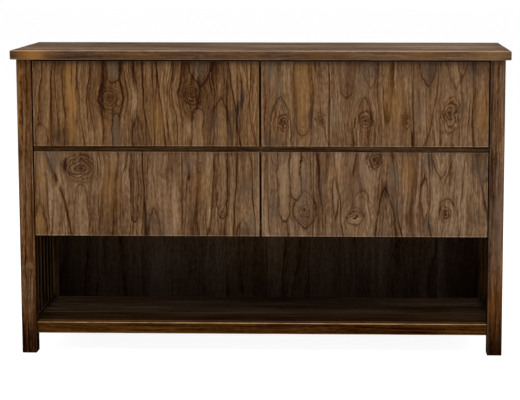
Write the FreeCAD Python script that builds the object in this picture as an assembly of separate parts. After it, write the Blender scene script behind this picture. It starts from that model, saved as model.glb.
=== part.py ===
import FreeCAD, Part
import os

# Lowboy: four drawers without handles over an open shelf, in a post-and-rail frame with slatted sides.
# Millimetres. The front faces -Y, +X is the right-hand side seen from the front, and +Z is up.
# The origin is on the floor, under the middle of the top board.

# --- overall ---
TOP_WIDTH = 1500.0
TOP_DEPTH = 450.0
TOP_THICKNESS = 28.0
TOP_EASING = 2.5
SIDE_OVERHANG = 16.0
FRONT_OVERHANG = 16.0

# --- posts ---
POST_SIZE = 45.0
POST_HEIGHT = 902.0
POST_EASING = 2.0

# --- joints in the wood ---
TENON_SHOULDER = 5.0
TENON_PLAY = 0.15
TENON_END_PLAY = 1.0
TENON_WALL = 3.0
SIDE_TENON_LENGTH = 22.0
SIDE_TENON_THICKNESS = 10.0
BACK_TENON_THICKNESS = 10.0
GROOVE_DEPTH = 6.0

# --- slatted sides ---
FRAME_BOTTOM_Z = 58.5
SIDE_RAIL_THICKNESS = 20.0
SIDE_RAIL_EASING = 1.5
SIDE_TOP_RAIL_HEIGHT = 60.0
SIDE_BOTTOM_RAIL_HEIGHT = 43.0
SLAT_COUNT = 6
SLAT_WIDTH = 27.0
SLAT_THICKNESS = 15.0
SLAT_HOUSING = 8.0
SLAT_EASING = 1.5

# --- back ---
BACK_RAIL_THICKNESS = 20.0
BACK_RAIL_HEIGHT = 60.0
PLANK_COUNT = 10
PLANK_SETBACK = 5.0
PLANK_THICKNESS = 12.0
PLANK_TONGUE_DEPTH = 5.0
PLANK_TONGUE_THICKNESS = 4.0
PLANK_TONGUE_PLAY = 0.2
PLANK_BEVEL = 1.5
PLANK_JOINT = 0.6
PLANK_HOUSING = 8.0
SCREW_SHANK_RADIUS = 2.0
SCREW_HEAD_RADIUS = 4.0
SCREW_POINT_COVER = 4.0
SCREW_PLAY = 0.2

# --- front rails, and the partition between the drawers ---
FRONT_RAIL_HEIGHT = 26.0
FRONT_RAIL_DEPTH = 40.0
RAIL_EASING = 1.0
TOP_RAIL_HEIGHT = 22.0
RAIL_BELOW_FACE = 3.0
BOTTOM_RAIL_LIFT = 18.0
PARTITION_THICKNESS = 22.0
DECK_THICKNESS = 9.0
DECK_LIFT = 3.0
INNER_SIDE_DROP = 9.0

# --- open shelf ---
SHELF_SETBACK = 18.0
SHELF_RAIL_HEIGHT = 35.0
SHELF_EASING = 2.5
SHELF_BOARD_COUNT = 3
SHELF_BOARD_THICKNESS = 18.0
SHELF_BOARD_EASING = 0.8
BATTEN_WIDTH = 40.0
BATTEN_LIFT = 2.0
BATTEN_INSET = 30.0

# --- drawers ---
FACE_HEIGHT = 257.0
FACE_THICKNESS = 20.0
FACE_EASING = 1.8
FACE_GRIP_BEVEL = 8.0
FACE_TO_RAIL = 1.0
TOP_REVEAL = 4.5
ROW_REVEAL = 17.5
POST_REVEAL = 3.5
CENTRE_REVEAL = 7.0
BOX_WALL = 15.0
BOX_EASING = 1.0
BOX_RAIL_CLEARANCE = 5.0
BOX_TOP_CLEARANCE = 10.5
BOX_BACK_CLEARANCE = 16.0
BOX_BOTTOM_THICKNESS = 6.0
BOX_BOTTOM_LIFT = 12.0
BOX_GROOVE_PLAY = 0.2

# --- ball-bearing slides ---
SLIDE_GAP = 13.0
SLIDE_END_GAP = 4.0
SLIDE_LIFT = 50.0
SLIDE_HEIGHT = 42.0
CASE_MEMBER_DEPTH = 9.8
CASE_MEMBER_WALL = 1.4
THIN_MEMBER_WALL = 1.2
WEB_PLAY = 0.5
MIDDLE_LIP_GAP = 2.1
DRAWER_LIP_GAP = 0.9
BALL_SPACE = 3.1
CAGE_LENGTH = 90.0
CAGE_DEPTH = 5.0
CAGE_INSET = 20.0
CAGE_PLAY = 0.3

# --- brackets under the top ---
BRACKET_LEG = 18.0
BRACKET_WIDTH = 30.0
BRACKET_THICKNESS = 2.0
BRACKET_INSET = 80.0

# How far a cut runs past the face that it opens, and what counts as the same place.
THROUGH = 1.0
SAME = 1e-6

# --- places worked out from the sizes ---
POST_OUTER_X = TOP_WIDTH / 2 - SIDE_OVERHANG
POST_INNER_X = POST_OUTER_X - POST_SIZE
POST_MIDDLE_X = (POST_OUTER_X + POST_INNER_X) / 2
FRONT_Y = -TOP_DEPTH / 2 + FRONT_OVERHANG
BACK_Y = TOP_DEPTH / 2
FRONT_POST_BACK_Y = FRONT_Y + POST_SIZE
BACK_POST_FRONT_Y = BACK_Y - POST_SIZE

SIDE_RAIL_INNER_X = POST_MIDDLE_X - SIDE_RAIL_THICKNESS / 2
SIDE_RAIL_OUTER_X = POST_MIDDLE_X + SIDE_RAIL_THICKNESS / 2
SIDE_TOP_RAIL_Z = POST_HEIGHT - SIDE_TOP_RAIL_HEIGHT
SIDE_BOTTOM_RAIL_TOP_Z = FRAME_BOTTOM_Z + SIDE_BOTTOM_RAIL_HEIGHT

# A tenon along X stops short of the side rails' tenons, which run along Y in the same posts.
CROSS_TENON_LENGTH = (POST_SIZE - SIDE_TENON_THICKNESS) / 2 - TENON_WALL

PLANK_FRONT_Y = BACK_POST_FRONT_Y + PLANK_SETBACK
BACK_RAIL_FRONT_Y = PLANK_FRONT_Y + PLANK_THICKNESS
BACK_RAIL_BACK_Y = BACK_RAIL_FRONT_Y + BACK_RAIL_THICKNESS
PLANK_EDGE_X = POST_INNER_X + PLANK_HOUSING

FACE_BACK_Y = FRONT_Y + FACE_THICKNESS
UPPER_FACE_Z = POST_HEIGHT - TOP_REVEAL - FACE_HEIGHT
LOWER_FACE_Z = UPPER_FACE_Z - ROW_REVEAL - FACE_HEIGHT

FRONT_RAIL_Y = FACE_BACK_Y + FACE_TO_RAIL
FRONT_RAIL_BACK_Y = FRONT_RAIL_Y + FRONT_RAIL_DEPTH
TOP_RAIL_Z = POST_HEIGHT - TOP_RAIL_HEIGHT
MIDDLE_RAIL_Z = UPPER_FACE_Z - RAIL_BELOW_FACE - FRONT_RAIL_HEIGHT
BOTTOM_RAIL_Z = LOWER_FACE_Z + BOTTOM_RAIL_LIFT
DECK_Z = BOTTOM_RAIL_Z + DECK_LIFT
DECK_TOP_Z = DECK_Z + DECK_THICKNESS

SHELF_RAIL_Y = FRONT_Y + SHELF_SETBACK
SHELF_TOP_Z = FRAME_BOTTOM_Z + SHELF_RAIL_HEIGHT
SHELF_BOARD_Z = SHELF_TOP_Z - SHELF_BOARD_THICKNESS

BAY_INNER_X = PARTITION_THICKNESS / 2
BOX_INNER_X = BAY_INNER_X + SLIDE_GAP
BOX_OUTER_X = POST_INNER_X - SLIDE_GAP
BOX_LIFT = BOTTOM_RAIL_LIFT + FRONT_RAIL_HEIGHT + BOX_RAIL_CLEARANCE
BOX_HEIGHT = TOP_RAIL_Z - BOX_TOP_CLEARANCE - UPPER_FACE_Z - BOX_LIFT
BOX_BACK_Y = PLANK_FRONT_Y - BOX_BACK_CLEARANCE

SLIDE_FRONT_Y = FACE_BACK_Y + SLIDE_END_GAP
SLIDE_BACK_Y = BOX_BACK_Y - SLIDE_END_GAP
MIDDLE_MEMBER_HEIGHT = SLIDE_HEIGHT - 2 * (CASE_MEMBER_WALL + BALL_SPACE)
DRAWER_MEMBER_HEIGHT = MIDDLE_MEMBER_HEIGHT - 2 * (THIN_MEMBER_WALL + BALL_SPACE)

ROWS = {"upper": UPPER_FACE_Z, "lower": LOWER_FACE_Z}
SIDES = {"left": -1, "right": 1}

NODES = {}


def box(x0, x1, y0, y1, z0, z1):
    """A block between two opposite corners, given in any order."""
    x0, x1 = sorted((x0, x1))
    y0, y1 = sorted((y0, y1))
    z0, z1 = sorted((z0, z1))
    return Part.makeBox(x1 - x0, y1 - y0, z1 - z0, FreeCAD.Vector(x0, y0, z0))


def runs_along(edge, axis):
    """True for a straight edge along axis 0, 1 or 2."""
    ends = [tuple(v.Point) for v in edge.Vertexes]
    if len(ends) != 2:
        return False
    return all(abs(ends[0][k] - ends[1][k]) < SAME for k in range(3) if k != axis)


def eased(shape, radius, *axes):
    """The shape with its edges along the given axes rounded off."""
    edges = [e for e in shape.Edges if any(runs_along(e, a) for a in axes)]
    return shape.makeFillet(radius, edges)


def mirrored(shape):
    """The shape on the other side of the middle plane."""
    return shape.mirror(FreeCAD.Vector(0, 0, 0), FreeCAD.Vector(1, 0, 0))


def on_side(shape, side):
    """A shape modelled at the right, put on the named side."""
    return shape if side == "right" else mirrored(shape)


def keep(name, *solids):
    """Stores one node."""
    NODES[name] = Part.makeCompound([s for shape in solids for s in shape.Solids])


def grown(bounds, play, ends):
    """Bounds grown by play, and by the ends' own amount for each (axis, side) in ends."""
    out = [list(pair) for pair in bounds]
    for axis in range(3):
        for side in range(2):
            step = ends.get((axis, side), play)
            out[axis][side] += step if side else -step
    return out


def block(bounds):
    """A block from three (low, high) pairs."""
    (x0, x1), (y0, y1), (z0, z1) = bounds
    return box(x0, x1, y0, y1, z0, z1)


# --- tenons: each is given as bounds, so that its mortise comes from the same numbers ---


def side_tenons(z0, z1):
    """The front and back tenons of a right-hand side rail that spans z0 to z1."""
    x = (POST_MIDDLE_X - SIDE_TENON_THICKNESS / 2, POST_MIDDLE_X + SIDE_TENON_THICKNESS / 2)
    z = (z0 + TENON_SHOULDER, z1 - TENON_SHOULDER)
    front = (x, (FRONT_POST_BACK_Y - SIDE_TENON_LENGTH, FRONT_POST_BACK_Y), z)
    back = (x, (BACK_POST_FRONT_Y, BACK_POST_FRONT_Y + SIDE_TENON_LENGTH), z)
    return front, back


def cross_tenon(y0, y1, z0, z1):
    """The right-hand tenon, from y0 to y1, of a rail that runs along X and spans z0 to z1."""
    x = (POST_INNER_X, POST_INNER_X + CROSS_TENON_LENGTH)
    return x, (y0, y1), (z0 + TENON_SHOULDER, z1 - TENON_SHOULDER)


SIDE_RAIL_SPANS = {
    "top": (SIDE_TOP_RAIL_Z, POST_HEIGHT),
    "bottom": (FRAME_BOTTOM_Z, SIDE_BOTTOM_RAIL_TOP_Z),
}
FRONT_RAIL_SPANS = {
    "front_rail_top": (FRONT_RAIL_Y, TOP_RAIL_Z, POST_HEIGHT),
    "front_rail_middle": (FRONT_RAIL_Y, MIDDLE_RAIL_Z, MIDDLE_RAIL_Z + FRONT_RAIL_HEIGHT),
    "front_rail_bottom": (FRONT_RAIL_Y, BOTTOM_RAIL_Z, BOTTOM_RAIL_Z + FRONT_RAIL_HEIGHT),
    "shelf_front_rail": (SHELF_RAIL_Y, FRAME_BOTTOM_Z, SHELF_TOP_Z),
}
BACK_RAIL_SPANS = {
    "back_rail_top": (POST_HEIGHT - BACK_RAIL_HEIGHT, POST_HEIGHT),
    "back_rail_bottom": (FRAME_BOTTOM_Z, FRAME_BOTTOM_Z + BACK_RAIL_HEIGHT),
}


def front_rail_tenon(name):
    """The right-hand tenon of a front rail, from one shoulder behind its front to the post's back wall."""
    y0, z0, z1 = FRONT_RAIL_SPANS[name]
    return cross_tenon(y0 + TENON_SHOULDER, FRONT_POST_BACK_Y - TENON_WALL, z0, z1)


def back_rail_tenon(name):
    """The right-hand tenon of a back rail, in the middle of its thickness."""
    z0, z1 = BACK_RAIL_SPANS[name]
    middle = (BACK_RAIL_FRONT_Y + BACK_RAIL_BACK_Y) / 2
    half = BACK_TENON_THICKNESS / 2
    return cross_tenon(middle - half, middle + half, z0, z1)


# --- frame ---


def make_top():
    """The top board, with all its edges eased."""
    half_x, half_y = TOP_WIDTH / 2, TOP_DEPTH / 2
    board = box(-half_x, half_x, -half_y, half_y, POST_HEIGHT, POST_HEIGHT + TOP_THICKNESS)
    keep("top_board", eased(board, TOP_EASING, 0, 1, 2))


def plain_post(y0):
    """A right-hand post from y0 back, with its corners and foot eased."""
    post = box(POST_INNER_X, POST_OUTER_X, y0, y0 + POST_SIZE, 0, POST_HEIGHT)
    upright = [e for e in post.Edges if runs_along(e, 2)]
    foot = [e for e in post.Edges if all(abs(v.Z) < SAME for v in e.Vertexes)]
    return post.makeFillet(POST_EASING, upright + foot)


def make_posts():
    """Four posts, with mortises for every rail and a groove for the back planks."""
    front, back = plain_post(FRONT_Y), plain_post(BACK_POST_FRONT_Y)
    deep_front = {(1, 0): TENON_END_PLAY, (1, 1): THROUGH}
    deep_back = {(1, 1): TENON_END_PLAY, (1, 0): THROUGH}
    deep_side = {(0, 1): TENON_END_PLAY, (0, 0): THROUGH}
    for z0, z1 in SIDE_RAIL_SPANS.values():
        in_front, in_back = side_tenons(z0, z1)
        front = front.cut(block(grown(in_front, TENON_PLAY, deep_front)))
        back = back.cut(block(grown(in_back, TENON_PLAY, deep_back)))
    for name in FRONT_RAIL_SPANS:
        front = front.cut(block(grown(front_rail_tenon(name), TENON_PLAY, deep_side)))
    for name in BACK_RAIL_SPANS:
        back = back.cut(block(grown(back_rail_tenon(name), TENON_PLAY, deep_side)))
    groove = (
        (POST_INNER_X, PLANK_EDGE_X),
        (PLANK_FRONT_Y, BACK_RAIL_FRONT_Y),
        (FRAME_BOTTOM_Z, POST_HEIGHT),
    )
    back = back.cut(block(grown(groove, TENON_PLAY, {**deep_side, (2, 1): THROUGH})))
    for side in SIDES:
        keep(f"post_front_{side}", on_side(front, side))
        keep(f"post_back_{side}", on_side(back, side))


def slat_places():
    """The low Y of each slat: equal gaps between the posts."""
    span = BACK_POST_FRONT_Y - FRONT_POST_BACK_Y
    gap = (span - SLAT_COUNT * SLAT_WIDTH) / (SLAT_COUNT + 1)
    return [FRONT_POST_BACK_Y + gap + i * (SLAT_WIDTH + gap) for i in range(SLAT_COUNT)]


def slat_bounds(y0):
    """One right-hand slat, housed in both rails."""
    x = (POST_MIDDLE_X - SLAT_THICKNESS / 2, POST_MIDDLE_X + SLAT_THICKNESS / 2)
    z = (SIDE_BOTTOM_RAIL_TOP_Z - SLAT_HOUSING, SIDE_TOP_RAIL_Z + SLAT_HOUSING)
    return x, (y0, y0 + SLAT_WIDTH), z


def make_slatted_sides():
    """Two rails and a row of slats on each side."""
    slats = [slat_bounds(y0) for y0 in slat_places()]
    for place, (z0, z1) in SIDE_RAIL_SPANS.items():
        rail = box(SIDE_RAIL_INNER_X, SIDE_RAIL_OUTER_X, FRONT_POST_BACK_Y, BACK_POST_FRONT_Y, z0, z1)
        rail = eased(rail, SIDE_RAIL_EASING, 1)
        for tenon in side_tenons(z0, z1):
            rail = rail.fuse(block(tenon))
        for slat in slats:
            rail = rail.cut(block(grown(slat, TENON_PLAY, {})))
        for side in SIDES:
            keep(f"side_rail_{place}_{side}", on_side(rail.removeSplitter(), side))
    shapes = [eased(block(slat), SLAT_EASING, 2) for slat in slats]
    for side in SIDES:
        keep(f"side_slats_{side}", *[on_side(s, side) for s in shapes])


def cross_rail(y0, depth, z0, z1, tenon, easing):
    """A rail along X between the posts, with a tenon at each end."""
    rail = box(-POST_INNER_X, POST_INNER_X, y0, y0 + depth, z0, z1)
    rail = eased(rail, easing, 0)
    stub = block(tenon)
    return rail.fuse([stub, mirrored(stub)]).removeSplitter()


def deck_bounds():
    """The deck under the lower drawers, without its side tongues."""
    return (
        (-POST_INNER_X, POST_INNER_X),
        (FRONT_RAIL_BACK_Y - GROOVE_DEPTH, PLANK_FRONT_Y),
        (DECK_Z, DECK_TOP_Z),
    )


def deck_tongue():
    """The right-hand tongue of the deck, which sits in the inner side's groove."""
    return (
        (POST_INNER_X, POST_INNER_X + GROOVE_DEPTH),
        (FRONT_RAIL_BACK_Y + TENON_SHOULDER, BACK_POST_FRONT_Y - TENON_SHOULDER),
        (DECK_Z, DECK_TOP_Z),
    )


def make_front_rails():
    """The rails above, between and below the drawers, and the shelf's front rail."""
    at_shelf = (FRONT_POST_BACK_Y - SHELF_RAIL_Y, SHELF_EASING)
    at_drawers = (FRONT_RAIL_DEPTH, RAIL_EASING)
    for name, (y0, z0, z1) in FRONT_RAIL_SPANS.items():
        depth, easing = at_shelf if name == "shelf_front_rail" else at_drawers
        rail = cross_rail(y0, depth, z0, z1, front_rail_tenon(name), easing)
        if name == "front_rail_bottom":
            rail = rail.cut(block(deck_bounds()))
        keep(name, rail)


def plank_places():
    """The low and high X of each back plank's body, with one joint between two planks."""
    width = (2 * PLANK_EDGE_X - (PLANK_COUNT - 1) * PLANK_JOINT) / PLANK_COUNT
    starts = [-PLANK_EDGE_X + i * (width + PLANK_JOINT) for i in range(PLANK_COUNT)]
    return [(x0, x0 + width) for x0 in starts]


def plank_profile(x0, x1, first, last):
    """A plank's section at its foot: bevelled face edges, a groove at its left and a tongue at its right."""
    front, back = PLANK_FRONT_Y, BACK_RAIL_FRONT_Y
    middle = (front + back) / 2
    half = PLANK_TONGUE_THICKNESS / 2
    half_groove = half + PLANK_TONGUE_PLAY
    reach = PLANK_TONGUE_DEPTH + PLANK_JOINT
    left = [] if first else [
        (x0, middle + half_groove),
        (x0 + reach, middle + half_groove),
        (x0 + reach, middle - half_groove),
        (x0, middle - half_groove),
    ]
    right = [] if last else [
        (x1, middle - half),
        (x1 + PLANK_TONGUE_DEPTH, middle - half),
        (x1 + PLANK_TONGUE_DEPTH, middle + half),
        (x1, middle + half),
    ]
    points = [(x0, back), *left, (x0, front + PLANK_BEVEL), (x0 + PLANK_BEVEL, front)]
    points += [(x1 - PLANK_BEVEL, front), (x1, front + PLANK_BEVEL), *right, (x1, back)]
    corners = [FreeCAD.Vector(x, y, FRAME_BOTTOM_Z) for x, y in points]
    return Part.Face(Part.makePolygon([*corners, corners[0]]))


def screw_places():
    """The X and Z of each screw: one through each back rail into the middle of each plank."""
    heights = [(z0 + z1) / 2 for z0, z1 in BACK_RAIL_SPANS.values()]
    middles = [(max(x0, -POST_INNER_X) + min(x1, POST_INNER_X)) / 2 for x0, x1 in plank_places()]
    return [(x, z) for x in middles for z in heights]


def screw(x, z, play):
    """A countersunk screw whose head is flush with the rails' back, grown by play."""
    shank, head = SCREW_SHANK_RADIUS + play, SCREW_HEAD_RADIUS + play
    length = BACK_RAIL_BACK_Y - PLANK_FRONT_Y - SCREW_POINT_COVER + play
    start, inwards = FreeCAD.Vector(x, BACK_RAIL_BACK_Y, z), FreeCAD.Vector(0, -1, 0)
    body = Part.makeCylinder(shank, length, start, inwards)
    return body.fuse(Part.makeCone(head, shank, head - shank, start, inwards))


def make_back():
    """Tongued planks in front of two rails, and the screws that hold them."""
    holes = [screw(x, z, SCREW_PLAY) for x, z in screw_places()]
    places = plank_places()
    height = FreeCAD.Vector(0, 0, POST_HEIGHT - FRAME_BOTTOM_Z)
    planks = []
    for i, (x0, x1) in enumerate(places):
        plank = plank_profile(x0, x1, i == 0, i == len(places) - 1).extrude(height)
        near = [h for h in holes if h.BoundBox.XMin > x0 and h.BoundBox.XMax < x1]
        planks.append(plank.cut(near))
    keep("back_planks", *planks)
    for name, (z0, z1) in BACK_RAIL_SPANS.items():
        tenon = back_rail_tenon(name)
        rail = cross_rail(BACK_RAIL_FRONT_Y, BACK_RAIL_THICKNESS, z0, z1, tenon, RAIL_EASING)
        near = [h for h in holes if h.BoundBox.ZMin > z0 and h.BoundBox.ZMax < z1]
        keep(name, rail.cut(near))
    keep("back_rail_screws", *[screw(x, z, 0) for x, z in screw_places()])


def make_case():
    """What holds the drawers: a board inside each slatted side, the partition and the deck."""
    tongue = deck_tongue()
    z0 = BOTTOM_RAIL_Z - INNER_SIDE_DROP
    side_board = box(POST_INNER_X, SIDE_RAIL_INNER_X, FRONT_POST_BACK_Y, BACK_POST_FRONT_Y, z0, POST_HEIGHT)
    side_board = side_board.cut(block(tongue))
    for side in SIDES:
        keep(f"inner_side_{side}", on_side(side_board, side))

    half = PARTITION_THICKNESS / 2
    partition = box(-half, half, FRONT_RAIL_Y, PLANK_FRONT_Y, DECK_TOP_Z, POST_HEIGHT)
    for name in ("front_rail_top", "front_rail_middle", "front_rail_bottom"):
        y0, low, high = FRONT_RAIL_SPANS[name]
        notch = box(-half, half, y0, y0 + FRONT_RAIL_DEPTH, low, high)
        partition = partition.cut(notch)
    keep("centre_partition", partition)

    deck = block(deck_bounds())
    keep("drawer_deck", deck.fuse([block(tongue), mirrored(block(tongue))]).removeSplitter())


def make_shelf():
    """The open shelf's boards, edge to edge behind its front rail, and the battens under them."""
    width = (PLANK_FRONT_Y - FRONT_POST_BACK_Y) / SHELF_BOARD_COUNT
    end_x = SIDE_RAIL_INNER_X
    boards = []
    for i in range(SHELF_BOARD_COUNT):
        y0 = FRONT_POST_BACK_Y + i * width
        board = box(-end_x, end_x, y0, y0 + width, SHELF_BOARD_Z, SHELF_TOP_Z)
        board = eased(board, SHELF_BOARD_EASING, 0)
        for sign in SIDES.values():
            notch = box(sign * POST_INNER_X, sign * end_x, BACK_POST_FRONT_Y, BACK_Y, 0, POST_HEIGHT)
            board = board.cut(notch)
        boards.append(board)
    keep("shelf_boards", *boards)

    outermost = POST_INNER_X - BATTEN_INSET - BATTEN_WIDTH / 2
    battens = []
    for x in (-outermost, 0, outermost):
        half = BATTEN_WIDTH / 2
        low = FRAME_BOTTOM_Z + BATTEN_LIFT
        battens.append(box(x - half, x + half, FRONT_POST_BACK_Y, PLANK_FRONT_Y, low, SHELF_BOARD_Z))
    keep("shelf_battens", *battens)


def front_bracket(x):
    """An angle bracket between the back of the top front rail and the top board."""
    x0, x1 = x - BRACKET_WIDTH / 2, x + BRACKET_WIDTH / 2
    y0, z1 = FRONT_RAIL_BACK_Y, POST_HEIGHT
    wall = box(x0, x1, y0, y0 + BRACKET_THICKNESS, z1 - BRACKET_LEG, z1)
    return wall.fuse(box(x0, x1, y0, y0 + BRACKET_LEG, z1 - BRACKET_THICKNESS, z1)).removeSplitter()


def side_bracket(y):
    """An angle bracket between the right-hand inner side and the top board."""
    y0, y1 = y - BRACKET_WIDTH / 2, y + BRACKET_WIDTH / 2
    x0, z1 = POST_INNER_X, POST_HEIGHT
    wall = box(x0 - BRACKET_THICKNESS, x0, y0, y1, z1 - BRACKET_LEG, z1)
    return wall.fuse(box(x0 - BRACKET_LEG, x0, y0, y1, z1 - BRACKET_THICKNESS, z1)).removeSplitter()


def make_brackets():
    """Two brackets on each inner side, and two to each bay on the top front rail."""
    right = [
        front_bracket(BAY_INNER_X + BRACKET_INSET),
        front_bracket(POST_INNER_X - BRACKET_INSET),
        side_bracket(FRONT_POST_BACK_Y + BRACKET_INSET),
        side_bracket(BACK_POST_FRONT_Y - BRACKET_INSET),
    ]
    keep("top_brackets", *right, *[mirrored(b) for b in right])


# --- drawers, all modelled in the right-hand bay ---


def bottom_bounds(z0):
    """The bottom of a drawer box that starts at z0, housed in a groove all round."""
    inset = BOX_WALL - GROOVE_DEPTH
    low = z0 + BOX_BOTTOM_LIFT
    return (
        (BOX_INNER_X + inset, BOX_OUTER_X - inset),
        (FACE_BACK_Y + inset, BOX_BACK_Y - inset),
        (low, low + BOX_BOTTOM_THICKNESS),
    )


def drawer_face(z0):
    """A face from z0 up: eased all round in front, with a grip bevel behind its lower edge."""
    face = box(CENTRE_REVEAL / 2, POST_INNER_X - POST_REVEAL, FRONT_Y, FACE_BACK_Y, z0, z0 + FACE_HEIGHT)
    front = [e for e in face.Edges if all(abs(v.Y - FRONT_Y) < SAME for v in e.Vertexes)]
    face = face.makeFillet(FACE_EASING, front)
    behind = [e for e in face.Edges if all(abs(v.Y - FACE_BACK_Y) < SAME for v in e.Vertexes)]
    low_back = [e for e in behind if all(abs(v.Z - z0) < SAME for v in e.Vertexes)]
    return face.makeChamfer(FACE_GRIP_BEVEL, low_back)


def make_drawer(row, side):
    """One drawer: its face, four box walls and bottom."""
    name = f"{row}_{side}_drawer"
    z0 = ROWS[row] + BOX_LIFT
    z1 = z0 + BOX_HEIGHT
    x0, x1, y0, y1 = BOX_INNER_X, BOX_OUTER_X, FACE_BACK_Y, BOX_BACK_Y
    panel = bottom_bounds(z0)
    groove = block(grown(panel, BOX_GROOVE_PLAY, {}))
    walls = {
        "box_front": eased(box(x0 + BOX_WALL, x1 - BOX_WALL, y0, y0 + BOX_WALL, z0, z1), BOX_EASING, 0),
        "box_back": eased(box(x0 + BOX_WALL, x1 - BOX_WALL, y1 - BOX_WALL, y1, z0, z1), BOX_EASING, 0),
        "box_side_inner": eased(box(x0, x0 + BOX_WALL, y0, y1, z0, z1), BOX_EASING, 1),
        "box_side_outer": eased(box(x1 - BOX_WALL, x1, y0, y1, z0, z1), BOX_EASING, 1),
    }
    keep(f"{name}_face", on_side(drawer_face(ROWS[row]), side))
    for wall, shape in walls.items():
        keep(f"{name}_{wall}", on_side(shape.cut(groove), side))
    keep(f"{name}_box_bottom", on_side(block(panel), side))


def channel(x_web, x_lip, height, wall, z):
    """A slide member: a channel along Y whose web starts at x_web and whose flanges reach x_lip."""
    sign = 1 if x_lip > x_web else -1
    half = height / 2
    y0, y1 = SLIDE_FRONT_Y, SLIDE_BACK_Y
    outside = box(x_web, x_lip, y0, y1, z - half, z + half)
    hollow = box(
        x_web + sign * wall, x_lip + sign * THROUGH,
        y0 - THROUGH, y1 + THROUGH,
        z - half + wall, z + half - wall,
    )
    return outside.cut(hollow)


def cages(x_web, sign, z):
    """A middle member's ball cages.

    The pair outside its flanges is near its back end and the pair inside them near its front end, so that
    each is still between two members when the drawer is open.
    """
    x0 = x_web + sign * (CASE_MEMBER_DEPTH - CAGE_DEPTH) / 2
    outer = (MIDDLE_MEMBER_HEIGHT / 2, SLIDE_HEIGHT / 2 - CASE_MEMBER_WALL - CAGE_PLAY)
    inner = (DRAWER_MEMBER_HEIGHT / 2 + CAGE_PLAY, MIDDLE_MEMBER_HEIGHT / 2 - THIN_MEMBER_WALL)
    starts = {outer: SLIDE_BACK_Y - CAGE_INSET - CAGE_LENGTH, inner: SLIDE_FRONT_Y + CAGE_INSET}
    return [
        box(x0, x0 + sign * CAGE_DEPTH, y0, y0 + CAGE_LENGTH, z + up * low, z + up * high)
        for (low, high), y0 in starts.items()
        for up in (-1, 1)
    ]


def make_slides(row, side):
    """A drawer's pair of slides. Returns the members that are fixed to the case."""
    name = f"{row}_{side}_drawer"
    z = ROWS[row] + BOX_LIFT + SLIDE_LIFT
    fixed, middles, moving = [], [], []
    for wall_x, drawer_x in ((BAY_INNER_X, BOX_INNER_X), (POST_INNER_X, BOX_OUTER_X)):
        sign = 1 if drawer_x > wall_x else -1
        web = wall_x + sign * (CASE_MEMBER_WALL + WEB_PLAY)
        drawer_lip = web + sign * (THIN_MEMBER_WALL + DRAWER_LIP_GAP)
        case_lip = wall_x + sign * CASE_MEMBER_DEPTH
        middle_lip = drawer_x - sign * MIDDLE_LIP_GAP
        fixed.append(channel(wall_x, case_lip, SLIDE_HEIGHT, CASE_MEMBER_WALL, z))
        middles.append(channel(web, middle_lip, MIDDLE_MEMBER_HEIGHT, THIN_MEMBER_WALL, z))
        middles += cages(web, sign, z)
        moving.append(channel(drawer_x, drawer_lip, DRAWER_MEMBER_HEIGHT, THIN_MEMBER_WALL, z))
    keep(f"{name}_slide_middle", *[on_side(s, side) for s in middles])
    keep(f"{name}_slide_inner", *[on_side(s, side) for s in moving])
    return [on_side(s, side) for s in fixed]


def main():
    make_top()
    make_posts()
    make_slatted_sides()
    make_front_rails()
    make_back()
    make_case()
    make_shelf()
    make_brackets()
    fixed = []
    for row in ROWS:
        for side in SIDES:
            make_drawer(row, side)
            fixed += make_slides(row, side)
    keep("slide_case_members", *fixed)

    os.makedirs("parts", exist_ok=True)
    for name, shape in NODES.items():
        if not shape.isValid() or not shape.Solids:
            raise SystemExit(f"{name} is not a valid solid")
        shape.exportStep(f"parts/{name}.step")
    print(len(NODES), "nodes,", sum(len(s.Solids) for s in NODES.values()), "solids")


main()
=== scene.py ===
"""A lowboy in dark stained teak: four drawers on telescopic slides over an open shelf, between slatted sides.

Every wooden board is a surface with eased edges whose radius wanders a little, like wear. Its grain
comes from its own "grain" attribute, in metres across the board, into it and along it, so that no two
boards show the same wood.
"""

import math

import bpy
import numpy as np
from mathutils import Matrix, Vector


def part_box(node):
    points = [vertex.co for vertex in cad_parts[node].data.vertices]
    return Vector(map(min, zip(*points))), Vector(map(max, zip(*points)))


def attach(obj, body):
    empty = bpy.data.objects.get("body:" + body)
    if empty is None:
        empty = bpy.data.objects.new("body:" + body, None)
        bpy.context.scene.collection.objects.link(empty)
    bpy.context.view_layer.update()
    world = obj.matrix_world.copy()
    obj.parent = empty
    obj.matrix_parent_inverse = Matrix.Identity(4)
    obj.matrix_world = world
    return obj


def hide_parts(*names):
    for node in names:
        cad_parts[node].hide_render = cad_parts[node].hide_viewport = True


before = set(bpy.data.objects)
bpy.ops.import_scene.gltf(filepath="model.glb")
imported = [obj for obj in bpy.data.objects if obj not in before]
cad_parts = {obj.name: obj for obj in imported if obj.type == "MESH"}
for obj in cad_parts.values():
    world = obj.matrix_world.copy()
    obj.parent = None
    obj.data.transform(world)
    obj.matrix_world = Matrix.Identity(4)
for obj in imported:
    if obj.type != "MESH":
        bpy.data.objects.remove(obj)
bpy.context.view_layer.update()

SIDES = ("left", "right")
CABINET = "cabinet"

# Camera: place in metres, turn and tilt in degrees, lens and sensor in millimetres.
CAMERA_PLACE = (0.279, -5.045, 1.225)
CAMERA_TURN = 1.46
CAMERA_TILT = 7.12
CAMERA_LENS = 112.1
CAMERA_SENSOR = 36.0
CAMERA_SHIFT = (-0.1, -0.09)
CAMERA_REACH = 200.0

# Studio: a pale floor and the light of the room and of the backdrop.
FLOOR_HALF = 30.0
FLOOR_GLOW_NEAR = 0.93
FLOOR_GLOW_FAR = 0.97
FLOOR_NEAR = 1.0
FLOOR_FAR = 3.5
FLOOR_SPECKLE = 300.0
FLOOR_GREYS = ((0.3, (0.14, 0.14, 0.14, 1.0)), (0.7, (0.18, 0.18, 0.18, 1.0)))
BACKDROP_LIGHT = 1.05
ROOM_LIGHT = 0.12
WHITE = (1.0, 1.0, 1.0, 1.0)

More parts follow.
